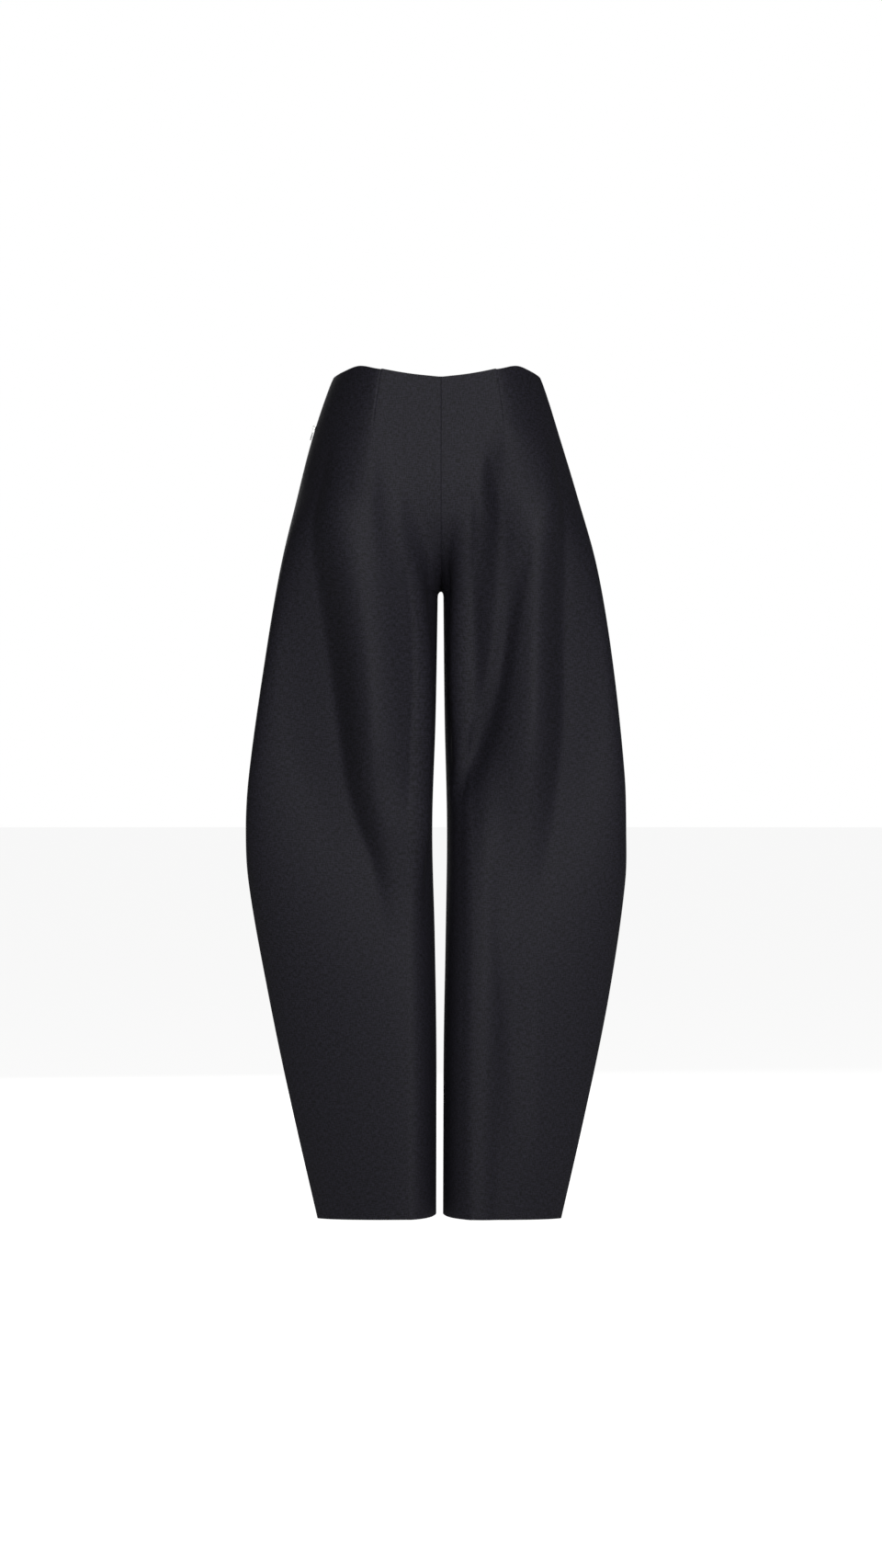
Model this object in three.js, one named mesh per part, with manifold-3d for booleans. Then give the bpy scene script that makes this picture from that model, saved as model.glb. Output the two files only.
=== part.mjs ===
// Barrel leg trousers in black wool, hollow and filled out as on a wearer.
// Millimetres, +Z up, the front faces -Y, and +X is the wearer's left side.
// The origin is the middle of the waist opening, level with the centre front of the waist edge.

import * as THREE from 'three';
import Module from 'manifold-3d';
import { mergeVertices } from 'three/addons/utils/BufferGeometryUtils.js';

// Cloth
const WALL = 2; // thickness of the heavy wool cloth
const SEAM_GAP = 0.3; // space kept between two pieces at every seam
const HALF_GAP = SEAM_GAP / 2;
const INNER_COLUMNS = 5; // cells across each cloth piece, from its inner seam to its crown
const OUTER_COLUMNS = 16; // and from the crown to its side seam
const COLUMNS = INNER_COLUMNS + OUTER_COLUMNS;
const RIDGE_COLUMNS = 4; // cells from the crown to where the thigh ridge starts to drop
const FLANK_COLUMNS = 10; // and from the crown to the foot of that drop
const DROP_START = 0.35; // the drop runs over this much of the ridge's outer half width
const DROP_END = 1.05;
const WAIST_QUARTER = 120; // about the length of cloth from a crown to the side seam near the waist
const SAMPLES = 28; // steps along each quarter of a section before it is spaced evenly

// Heights
const HEM = -1025; // hem, before its slant
const CROTCH = -257; // point where the four cloth pieces meet
const RISE_TOP = -165; // above it the centre seams lie flush with the front and the seat
const CUT_FADE = 45; // the shaped waist and hem edges act on this much cloth
const ARCH = 7; // height of the round top of the space between the legs
const CROTCH_DEPTH = 10; // the crotch point lies this far behind the waist's middle
const RISE_POWER = 1.8; // roundness of the centre seams where they run in under the body

// Sections down the trousers. right and left are the reach of each side from the centre line,
// front and back the depth before and behind the waist's middle, crown the share of the reach
// at which a face is deepest, turn the power of its outer curve, where 2 is an ellipse, and side the
// depth of the side seam.
const SECTIONS = [
  { height: 25, right: 122, left: 113, side: 2,
    front: 78, crownFront: 0.57, turnFront: 1.45, back: 86, crownBack: 0.34, turnBack: 2 },
  { height: -4, right: 136.5, left: 126, side: 2,
    front: 82, crownFront: 0.55, turnFront: 1.45, back: 90, crownBack: 0.34, turnBack: 2 },
  { height: -72, right: 159.3, left: 147.5, side: 4,
    front: 90, crownFront: 0.52, turnFront: 1.6, back: 108, crownBack: 0.38, turnBack: 2.05 },
  { height: -140, right: 176.7, left: 168, side: 7,
    front: 92, crownFront: 0.42, turnFront: 2, back: 123, crownBack: 0.43, turnBack: 2.1 },
  { height: -230, right: 197.3, left: 192, side: 8,
    front: 72, crownFront: 0.22, turnFront: 4.6, back: 124, crownBack: 0.46, turnBack: 2.1 },
  { height: -343, right: 216.4, left: 210.7, side: 6,
    front: 52, crownFront: 0.16, turnFront: 6, back: 106, crownBack: 0.48, turnBack: 2.1 },
  { height: -479, right: 235.6, left: 225.4, side: 3,
    front: 50, crownFront: 0.16, turnFront: 4.8, back: 93, crownBack: 0.5, turnBack: 2 },
  { height: -547, right: 240, left: 227.7, side: 2,
    front: 55, crownFront: 0.17, turnFront: 3.4, back: 88, crownBack: 0.5, turnBack: 2 },
  { height: -615, right: 236.7, left: 226.6, side: 2,
    front: 63, crownFront: 0.18, turnFront: 2.5, back: 86, crownBack: 0.51, turnBack: 2 },
  { height: -750, right: 213, left: 207.4, side: 2,
    front: 72, crownFront: 0.19, turnFront: 1.6, back: 82, crownBack: 0.51, turnBack: 2 },
  { height: -886, right: 184.8, left: 180.2, side: 3,
    front: 71, crownFront: 0.21, turnFront: 1.4, back: 78, crownBack: 0.51, turnBack: 2 },
  { height: -1035, right: 150.5, left: 146.5, side: 4,
    front: 65, crownFront: 0.26, turnFront: 1.38, back: 74, crownBack: 0.51, turnBack: 2 },
];

// Half of the space between the legs, on the wearer's right and left of the centre line.
const LEG_SPACE = [
  { height: -257, right: 3.8, left: 2.8 },
  { height: -411, right: 6.5, left: 4.4 },
  { height: -547, right: 10.7, left: 7.3 },
  { height: -682, right: 7.6, left: 5.6 },
  { height: -818, right: 5.6, left: 3.2 },
  { height: -1035, right: 5.8, left: 2.3 },
];

// Shape of the waist edge and of the hem: how far each rises above its level line, across a piece
// from its inner seam (0) over its crown (0.5) to its side seam (1).
const EDGE_CUT = [
  { across: 0, waistFront: 0.5, waistBack: 8, hem: 3 },
  { across: 0.25, waistFront: 4.2, waistBack: 10, hem: 2 },
  { across: 0.5, waistFront: 10, waistBack: 12, hem: 1 },
  { across: 0.68, waistFront: 15.6, waistBack: 12, hem: -0.5 },
  { across: 0.85, waistFront: 11, waistBack: 9.5, hem: -2 },
  { across: 1, waistFront: 6, waistBack: 6, hem: -3 },
];

// Largest folds. Each has a row where it bends, from top to bottom: its distance from the centre line,
// its half widths towards the centre and the side, and its depth, which is negative on a ridge. power
// shapes it across: 2 is round, and 4 is flat with steep flanks.
const FOLDS = [
  { piece: 'front_right', name: 'thigh ridge', power: 3, rows: [
    { height: -60, centre: 106, inner: 50, outer: 44, depth: 0 },
    { height: -123, centre: 104, inner: 68, outer: 50, depth: -9 },
    { height: -167, centre: 99, inner: 76, outer: 58, depth: -22 },
    { height: -212, centre: 92, inner: 78, outer: 65, depth: -32 },
    { height: -256, centre: 86, inner: 78, outer: 65, depth: -39 },
    { height: -346, centre: 74, inner: 72, outer: 64, depth: -45 },
    { height: -434, centre: 70, inner: 68, outer: 56, depth: -44 },
    { height: -490, centre: 68, inner: 66, outer: 50, depth: -36 },
    { height: -546, centre: 58, inner: 56, outer: 44, depth: -27 },
    { height: -590, centre: 51, inner: 45, outer: 34, depth: -14 },
    { height: -630, centre: 45, inner: 36, outer: 32, depth: -5 },
    { height: -680, centre: 42, inner: 34, outer: 30, depth: 0 },
  ] },
  { piece: 'front_right', name: 'thigh slope', power: 2, rows: [
    { height: -60, centre: 100, inner: 50, outer: 80, depth: 0 },
    { height: -165, centre: 104, inner: 50, outer: 86, depth: -8 },
    { height: -256, centre: 98, inner: 50, outer: 96, depth: -15 },
    { height: -346, centre: 90, inner: 50, outer: 106, depth: -18 },
    { height: -435, centre: 86, inner: 50, outer: 106, depth: -15 },
    { height: -500, centre: 82, inner: 50, outer: 90, depth: -9 },
    { height: -560, centre: 76, inner: 50, outer: 70, depth: -3 },
    { height: -620, centre: 70, inner: 50, outer: 60, depth: 0 },
  ] },
  { piece: 'front_right', name: 'hip hollow', power: 2, rows: [
    { height: -85, centre: 70, inner: 20, outer: 18, depth: 0 },
    { height: -150, centre: 68, inner: 22, outer: 18, depth: 3.6 },
    { height: -240, centre: 62, inner: 22, outer: 18, depth: 0 },
  ] },
  { piece: 'front_left', name: 'thigh ridge', power: 3, rows: [
    { height: -50, centre: 104, inner: 46, outer: 44, depth: 0 },
    { height: -90, centre: 106, inner: 56, outer: 46, depth: -7 },
    { height: -140, centre: 102, inner: 66, outer: 50, depth: -19 },
    { height: -200, centre: 101, inner: 66, outer: 49, depth: -33 },
    { height: -346, centre: 101, inner: 62, outer: 49, depth: -42 },
    { height: -400, centre: 101, inner: 62, outer: 49, depth: -42 },
    { height: -450, centre: 97, inner: 62, outer: 51, depth: -38 },
    { height: -500, centre: 92, inner: 68, outer: 51, depth: -27 },
    { height: -546, centre: 86, inner: 66, outer: 52, depth: -15 },
    { height: -620, centre: 74, inner: 58, outer: 52, depth: -4 },
    { height: -700, centre: 60, inner: 50, outer: 50, depth: 0 },
  ] },
  { piece: 'front_left', name: 'thigh slope', power: 2, rows: [
    { height: -50, centre: 116, inner: 50, outer: 60, depth: 0 },
    { height: -140, centre: 120, inner: 50, outer: 60, depth: -8 },
    { height: -256, centre: 122, inner: 50, outer: 70, depth: -15 },
    { height: -346, centre: 120, inner: 50, outer: 80, depth: -17 },
    { height: -435, centre: 116, inner: 50, outer: 84, depth: -14 },
    { height: -520, centre: 108, inner: 50, outer: 76, depth: -6 },
    { height: -600, centre: 100, inner: 50, outer: 66, depth: 0 },
  ] },
  { piece: 'front_left', name: 'inner thigh ridge', power: 2.5, rows: [
    { height: -150, centre: 40, inner: 30, outer: 40, depth: 0 },
    { height: -230, centre: 36, inner: 34, outer: 46, depth: -13 },
    { height: -346, centre: 34, inner: 32, outer: 44, depth: -20 },
    { height: -400, centre: 32, inner: 30, outer: 36, depth: -15 },
    { height: -450, centre: 28, inner: 28, outer: 26, depth: -6 },
    { height: -490, centre: 26, inner: 26, outer: 22, depth: 0 },
  ] },
  { piece: 'front_left', name: 'shin ridge', power: 2, rows: [
    { height: -460, centre: 56, inner: 30, outer: 28, depth: 0 },
    { height: -560, centre: 53, inner: 30, outer: 24, depth: -4 },
    { height: -780, centre: 51, inner: 28, outer: 24, depth: -6 },
    { height: -950, centre: 49, inner: 28, outer: 24, depth: -6 },
    { height: -1030, centre: 48, inner: 28, outer: 24, depth: -5 },
  ] },
  { piece: 'front_left', name: 'inner thigh crease', power: 2, rows: [
    { height: -195, centre: 104, inner: 20, outer: 16, depth: 0 },
    { height: -260, centre: 89, inner: 18, outer: 14, depth: 4 },
    { height: -330, centre: 78, inner: 18, outer: 15, depth: 7 },
    { height: -380, centre: 68, inner: 20, outer: 17, depth: 8 },
    { height: -435, centre: 53, inner: 24, outer: 20, depth: 8 },
    { height: -490, centre: 29, inner: 22, outer: 22, depth: 5 },
    { height: -520, centre: 18, inner: 20, outer: 20, depth: 0 },
  ] },
  { piece: 'front_left', name: 'groin fold', power: 2, rows: [
    { height: -70, centre: 44, inner: 14, outer: 14, depth: 0 },
    { height: -120, centre: 50, inner: 14, outer: 15, depth: 2.5 },
    { height: -165, centre: 56, inner: 16, outer: 16, depth: 4.5 },
    { height: -225, centre: 55, inner: 16, outer: 16, depth: 3 },
    { height: -290, centre: 54, inner: 14, outer: 14, depth: 0 },
  ] },
  { piece: 'front_left', name: 'shin hollow', power: 2, rows: [
    { height: -680, centre: 86, inner: 22, outer: 30, depth: 0 },
    { height: -770, centre: 88, inner: 24, outer: 34, depth: 6 },
    { height: -860, centre: 90, inner: 26, outer: 34, depth: 6 },
    { height: -980, centre: 92, inner: 26, outer: 32, depth: 0 },
  ] },
  { piece: 'back_right', name: 'seat fold', power: 2, rows: [
    { height: -200, centre: 138, inner: 26, outer: 26, depth: 0 },
    { height: -270, centre: 118, inner: 26, outer: 26, depth: 6 },
    { height: -340, centre: 86, inner: 26, outer: 26, depth: 6 },
    { height: -420, centre: 48, inner: 26, outer: 26, depth: 0 },
  ] },
  { piece: 'back_right', name: 'flank valley', power: 2, rows: [
    { height: -280, centre: 160, inner: 28, outer: 34, depth: 0 },
    { height: -430, centre: 150, inner: 28, outer: 34, depth: 9 },
    { height: -560, centre: 128, inner: 28, outer: 34, depth: 7 },
    { height: -680, centre: 100, inner: 28, outer: 34, depth: 0 },
  ] },
  { piece: 'back_right', name: 'calf fold', power: 2, rows: [
    { height: -690, centre: 52, inner: 26, outer: 28, depth: 0 },
    { height: -780, centre: 72, inner: 26, outer: 28, depth: 5 },
    { height: -900, centre: 104, inner: 26, outer: 28, depth: 0 },
  ] },
  { piece: 'back_left', name: 'seat fold', power: 2, rows: [
    { height: -215, centre: 126, inner: 24, outer: 26, depth: 0 },
    { height: -290, centre: 102, inner: 24, outer: 26, depth: 5 },
    { height: -370, centre: 70, inner: 24, outer: 26, depth: 6 },
    { height: -455, centre: 38, inner: 24, outer: 26, depth: 0 },
  ] },
  { piece: 'back_left', name: 'flank valley', power: 2, rows: [
    { height: -240, centre: 150, inner: 26, outer: 30, depth: 0 },
    { height: -400, centre: 146, inner: 26, outer: 30, depth: 8 },
    { height: -540, centre: 134, inner: 26, outer: 30, depth: 6 },
    { height: -640, centre: 120, inner: 26, outer: 30, depth: 0 },
  ] },
  { piece: 'back_left', name: 'calf fold', power: 2, rows: [
    { height: -630, centre: 58, inner: 24, outer: 28, depth: 0 },
    { height: -750, centre: 82, inner: 24, outer: 28, depth: 5 },
    { height: -850, centre: 102, inner: 24, outer: 28, depth: 4 },
    { height: -930, centre: 116, inner: 24, outer: 28, depth: 0 },
  ] },
];
const FOLD_EDGE = 20; // folds die out over this much cloth beside a seam
const SEAM_SQUARE = 8; // within this much cloth the wall turns square to its side seam

// Concealed zip in the wearer's right side seam
const SLIDER_HEIGHT = -56;
const SEAM_PARTING = [
  { height: 30, half: 0.8 },
  { height: -51, half: 1.3 },
  { height: -61, half: 1.3 },
  { height: -67, half: HALF_GAP },
  { height: -1035, half: HALF_GAP },
];
const ZIP_END = -180; // lower end of the zip tapes
const TAPE = 0.8; // thickness of the zip tape
const TAPE_WIDTH = 12;
const SLIDER_WIDTH = 6.4;
const SLIDER_LENGTH = 10;
const SLIDER_BODY = 2.2;
const NECK_WIDTH = 1.8; // the neck fills the parted seam
const NECK_HALF_LENGTH = 3;
const BRIDGE_TOP = 3.6; // height of the slider's bridge above the cloth
const HINGE_RISE = 1.6; // height of the pull's bar above the cloth
const BRIDGE_EYE = 1.2; // radius of the eye that the bar turns in
const PULL_THICK = 1.2;
const PULL_WIDTH = 5;
const PULL_LENGTH = 16;
const RAIL = 1; // width of the pull beside its window
const WINDOW_END = 4.2;

// Heights of the mesh rows
function rowHeights() {
  const heights = [0, -12, -30, -51, -61, -67, -90, -115, -140];
  const riseRows = 8;
  for (let row = 0; row <= riseRows; row += 1) {
    const turn = (Math.PI / 2) * (1 - row / riseRows);
    heights.push(CROTCH + (RISE_TOP - CROTCH) * (1 - Math.cos(turn)));
  }
  heights.push(CROTCH - 0.3 * ARCH, CROTCH - ARCH, CROTCH - 4 * ARCH);
  const legTop = CROTCH - 4 * ARCH;
  const legRows = 21;
  for (let row = 1; row <= legRows; row += 1) {
    heights.push(legTop + ((HEM - legTop) * row) / legRows);
  }
  return heights;
}

// The share of a piece's width at a column: half of it lies on each side of the crown
function shareAcross(column) {
  return column <= INNER_COLUMNS
    ? (0.5 * column) / INNER_COLUMNS
    : 0.5 + (0.5 * (column - INNER_COLUMNS)) / OUTER_COLUMNS;
}

// A smooth curve through one column of a table
function curveThrough(rows, key, column) {
  const place = rows.map((row) => row[key]);
  const value = rows.map((row) => row[column]);
  const last = rows.length - 1;
  const slope = value.map((_, index) => {
    const before = Math.max(index - 1, 0);
    const after = Math.min(index + 1, last);
    return (value[after] - value[before]) / (place[after] - place[before]);
  });
  const falling = place[last] < place[0];
  return (at) => {
    let index = 0;
    while (index < last - 1 && (falling ? at < place[index + 1] : at > place[index + 1])) {
      index += 1;
    }
    const span = place[index + 1] - place[index];
    const t = Math.min(Math.max((at - place[index]) / span, 0), 1);
    const t2 = t * t;
    const t3 = t2 * t;
    return (2 * t3 - 3 * t2 + 1) * value[index] + (t3 - 2 * t2 + t) * span * slope[index]
      + (3 * t2 - 2 * t3) * value[index + 1] + (t3 - t2) * span * slope[index + 1];
  };
}

// Straight steps through pairs of a height and a distance
function stepsThrough(pairs, at) {
  let index = 0;
  while (index < pairs.length - 2 && at < pairs[index + 1][0]) {
    index += 1;
  }
  const [highHeight, high] = pairs[index];
  const [lowHeight, low] = pairs[index + 1];
  const t = Math.min(Math.max((at - highHeight) / (lowHeight - highHeight), 0), 1);
  return high + (low - high) * t;
}

function easeInOut(t) {
  const held = Math.min(Math.max(t, 0), 1);
  return held * held * (3 - 2 * held);
}

const SIDES = {
  right: {
    sign: -1,
    reach: curveThrough(SECTIONS, 'height', 'right'),
    space: curveThrough(LEG_SPACE, 'height', 'right'),
  },
  left: {
    sign: 1,
    reach: curveThrough(SECTIONS, 'height', 'left'),
    space: curveThrough(LEG_SPACE, 'height', 'left'),
  },
};
const FACES = {
  front: {
    sign: -1,
    depth: curveThrough(SECTIONS, 'height', 'front'),
    crown: curveThrough(SECTIONS, 'height', 'crownFront'),
    turn: curveThrough(SECTIONS, 'height', 'turnFront'),
    waist: curveThrough(EDGE_CUT, 'across', 'waistFront'),
  },
  back: {
    sign: 1,
    depth: curveThrough(SECTIONS, 'height', 'back'),
    crown: curveThrough(SECTIONS, 'height', 'crownBack'),
    turn: curveThrough(SECTIONS, 'height', 'turnBack'),
    waist: curveThrough(EDGE_CUT, 'across', 'waistBack'),
  },
};
const sideDepth = curveThrough(SECTIONS, 'height', 'side');
const hemCut = curveThrough(EDGE_CUT, 'across', 'hem');

// Where the inner edge of a section lies: on the centre seam down to the crotch, then on the inseam.
// out is how far it has come from the crotch's depth to the face's own depth, from 0 to 1.
function innerEdge(side, height) {
  if (height >= CROTCH) {
    const share = Math.min((height - CROTCH) / (RISE_TOP - CROTCH), 1);
    const out = (1 - (1 - share) ** RISE_POWER) ** (1 / RISE_POWER);
    return { x: HALF_GAP, middle: CROTCH_DEPTH, out: Math.min(out, 0.9999) };
  }
  const arch = Math.sqrt(1 - (1 - Math.min((CROTCH - height) / ARCH, 1)) ** 2);
  const settle = easeInOut((CROTCH - height) / (CROTCH - HEM));
  return {
    x: HALF_GAP + (side.space(height) - HALF_GAP) * arch,
    middle: CROTCH_DEPTH + (sideDepth(height) - CROTCH_DEPTH) * settle,
    out: 0,
  };
}

// One half section as points in the plane of the given height, from the inner edge to the side seam.
// The inner quarter is an ellipse as wide as a leg, cut off by the centre seam above the crotch.
function halfSection(side, face, height) {
  const inner = innerEdge(side, height);
  const reach = side.reach(height);
  const depth = face.sign * face.depth(height);
  const seam = sideDepth(height);
  const crown = reach * face.crown(height);
  const power = 2 / face.turn(height);
  const start = Math.asin(inner.out);
  const half = (crown - inner.x) / Math.cos(start);
  const points = [];
  for (let step = 0; step <= SAMPLES; step += 1) {
    const angle = start + (Math.PI / 2 - start) * (step / SAMPLES);
    points.push([crown - half * Math.cos(angle), inner.middle + (depth - inner.middle) * Math.sin(angle)]);
  }
  for (let step = 1; step <= SAMPLES; step += 1) {
    const angle = ((step / SAMPLES) * Math.PI) / 2;
    const across = Math.sin(angle) ** power;
    const out = Math.max(Math.cos(angle), 0) ** power;
    points.push([crown + (reach - crown) * across, seam + (depth - seam) * out]);
  }
  const lengths = [0];
  for (let index = 1; index < points.length; index += 1) {
    const [x0, y0] = points[index - 1];
    const [x1, y1] = points[index];
    lengths.push(lengths[index - 1] + Math.hypot(x1 - x0, y1 - y0));
  }
  return { points, lengths, toCrown: lengths[SAMPLES], total: lengths[2 * SAMPLES] };
}

// The point at a length along a section
function pointAt(section, length) {
  const { points, lengths } = section;
  let index = 0;
  while (index < lengths.length - 2 && lengths[index + 1] < length) {
    index += 1;
  }
  const t = (length - lengths[index]) / (lengths[index + 1] - lengths[index]);
  const [x0, y0] = points[index];
  const [x1, y1] = points[index + 1];
  return [x0 + (x1 - x0) * t, y0 + (y1 - y0) * t];
}

// The length along a section at which it lies a distance from the centre line
function lengthAt(section, distance) {
  const { points, lengths } = section;
  let index = 0;
  while (index < points.length - 2 && points[index + 1][0] < distance) {
    index += 1;
  }
  const t = (distance - points[index][0]) / (points[index + 1][0] - points[index][0]);
  return lengths[index] + (lengths[index + 1] - lengths[index]) * Math.min(Math.max(t, 0), 1);
}

// The folds with their rows as curves over the height
const FOLD_CURVES = FOLDS.map(({ piece, name, power, rows }) => ({
  piece,
  name,
  power,
  centre: curveThrough(rows, 'height', 'centre'),
  inner: curveThrough(rows, 'height', 'inner'),
  outer: curveThrough(rows, 'height', 'outer'),
  depth: curveThrough(rows, 'height', 'depth'),
}));

// How far the folds push a point of a piece in, along the wall's normal
function foldDepth(piece, section, length, height) {
  let total = 0;
  for (const fold of FOLD_CURVES.filter((entry) => entry.piece === piece)) {
    const off = length - lengthAt(section, fold.centre(height));
    const width = off < 0 ? fold.inner(height) : fold.outer(height);
    const bell = (1 - Math.min(Math.abs(off) / width, 1) ** fold.power) ** 2;
    total += fold.depth(height) * bell;
  }
  const edge = easeInOut(length / FOLD_EDGE) * easeInOut((section.total - length) / FOLD_EDGE);
  return total * edge;
}

// The length at a column between the crown and the side seam. Columns are evenly spaced on the back.
// On the front they crowd together where the thigh ridge drops to the flank, and run along it.
function outerColumnLength(piece, section, height, end, column) {
  const crown = section.toCrown;
  const quarter = end - crown;
  const ridge = FOLD_CURVES.find((fold) => fold.piece === piece && fold.name === 'thigh ridge');
  if (!ridge) {
    return crown + quarter * (column / OUTER_COLUMNS);
  }
  const crest = lengthAt(section, ridge.centre(height));
  const drop = ridge.outer(height);
  const hold = (length, low, high) => {
    const shareOut = (length - crown) / quarter;
    return crown + quarter * Math.min(Math.max(shareOut, low), high);
  };
  const dropStart = hold(crest + drop * DROP_START, 0.16, 0.52);
  const dropEnd = hold(crest + drop * DROP_END, 0.34, 0.74);
  const marks = [[0, crown], [RIDGE_COLUMNS, dropStart], [FLANK_COLUMNS, dropEnd], [OUTER_COLUMNS, end]];
  const index = column <= RIDGE_COLUMNS ? 0 : column <= FLANK_COLUMNS ? 1 : 2;
  const [[before, low], [after, high]] = [marks[index], marks[index + 1]];
  return low + (high - low) * ((column - before) / (after - before));
}

// Half of the space left at the side seam at a height
const parting = (height) => stepsThrough(SEAM_PARTING.map((row) => [row.height, row.half]), height);

// A point of a cloth piece and the wall's outward normal there. spot is a column of the piece, or a
// distance from its side seam.
function clothPoint(sideName, faceName, spot, level) {
  const side = SIDES[sideName];
  const face = FACES[faceName];
  const { column = COLUMNS, fromSide = 0 } = spot;
  const share = shareAcross(column) - fromSide / (2 * WAIST_QUARTER);
  const waistPart = easeInOut(1 + level / CUT_FADE);
  const hemPart = easeInOut(1 - (level - HEM) / CUT_FADE);
  const height = level + face.waist(share) * waistPart + hemCut(share) * hemPart;
  const section = halfSection(side, face, height);
  const start = level > CROTCH ? 0 : HALF_GAP;
  const end = section.total - (sideName === 'right' ? parting(level) : HALF_GAP);
  const piece = `${faceName}_${sideName}`;
  const onColumn = column <= INNER_COLUMNS
    ? start + (section.toCrown - start) * (column / INNER_COLUMNS)
    : outerColumnLength(piece, section, height, end, column - INNER_COLUMNS);
  const length = onColumn - fromSide;
  const reachOut = 1.5;
  const [xa, ya] = pointAt(section, Math.max(length - reachOut, 0));
  const [xb, yb] = pointAt(section, Math.min(length + reachOut, section.total));
  const run = Math.hypot(xb - xa, yb - ya);
  const square = easeInOut(1 - (end - length) / SEAM_SQUARE);
  const acrossSeam = ((-face.sign * (yb - ya)) / run) * (1 - square) + square;
  const alongSeam = ((face.sign * (xb - xa)) / run) * (1 - square);
  const size = Math.hypot(acrossSeam, alongSeam);
  const normal = [acrossSeam / size, alongSeam / size];
  const [x, y] = pointAt(section, length);
  const fold = foldDepth(piece, section, length, height);
  return {
    x: side.sign * (x - normal[0] * fold),
    y: y - normal[1] * fold,
    z: height,
    out: [side.sign * normal[0], normal[1]],
  };
}

// A wall between two depths under the outer surface of a piece
function clothWall(sideName, faceName, spots, levels, outerDepth, innerDepth) {
  const width = spots.length;
  const positions = [];
  const depths = [outerDepth, innerDepth];
  for (const depth of depths) {
    for (const level of levels) {
      for (const spot of spots) {
        const point = clothPoint(sideName, faceName, spot, level);
        positions.push(point.x - point.out[0] * depth, point.y - point.out[1] * depth, point.z);
      }
    }
  }
  const layer = levels.length * width;
  const outer = (row, column) => row * width + column;
  const inner = (row, column) => layer + row * width + column;
  const mirrored = SIDES[sideName].sign * FACES[faceName].sign > 0;
  const index = [];
  const quad = (a, b, c, d) => {
    if (mirrored) {
      index.push(a, c, b, a, d, c);
    } else {
      index.push(a, b, c, a, c, d);
    }
  };
  const lastRow = levels.length - 1;
  const lastColumn = width - 1;
  for (let row = 0; row < lastRow; row += 1) {
    for (let column = 0; column < lastColumn; column += 1) {
      quad(outer(row, column), outer(row + 1, column), outer(row + 1, column + 1), outer(row, column + 1));
      quad(inner(row, column), inner(row, column + 1), inner(row + 1, column + 1), inner(row + 1, column));
    }
    quad(outer(row + 1, 0), outer(row, 0), inner(row, 0), inner(row + 1, 0));
    const [seamAbove, seamBelow] = [outer(row, lastColumn), outer(row + 1, lastColumn)];
    quad(seamAbove, seamBelow, inner(row + 1, lastColumn), inner(row, lastColumn));
  }
  for (let column = 0; column < lastColumn; column += 1) {
    quad(outer(0, column), outer(0, column + 1), inner(0, column + 1), inner(0, column));
    const [hemNext, hemHere] = [outer(lastRow, column + 1), outer(lastRow, column)];
    quad(hemNext, hemHere, inner(lastRow, column), inner(lastRow, column + 1));
  }
  const geometry = new THREE.BufferGeometry();
  geometry.setAttribute('position', new THREE.Float32BufferAttribute(positions, 3));
  geometry.setIndex(index);
  geometry.computeVertexNormals();
  return geometry;
}

// Joined solids
const wasm = await Module();
wasm.setup();

function toSolid(geometry) {
  const bare = geometry.clone();
  bare.deleteAttribute('normal');
  bare.deleteAttribute('uv');
  const merged = mergeVertices(bare, 1e-4);
  return new wasm.Manifold(new wasm.Mesh({
    numProp: 3,
    vertProperties: new Float32Array(merged.attributes.position.array),
    triVerts: new Uint32Array(merged.index.array),
  }));
}

function toGeometry(solid) {
  const mesh = solid.getMesh();
  const geometry = new THREE.BufferGeometry();
  geometry.setAttribute('position', new THREE.BufferAttribute(mesh.vertProperties, 3));
  geometry.setIndex(new THREE.BufferAttribute(mesh.triVerts, 1));
  geometry.computeVertexNormals();
  return geometry;
}

// A flat plate of an outline, drawn along the seam and out from the cloth, with its thickness centred
// across the seam
function plateAcrossSeam(outline, thickness) {
  const geometry = new THREE.ExtrudeGeometry(outline, {
    depth: thickness, bevelEnabled: false, curveSegments: 10,
  });
  geometry.translate(0, 0, -thickness / 2);
  geometry.rotateX(Math.PI / 2);
  return geometry;
}

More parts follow.
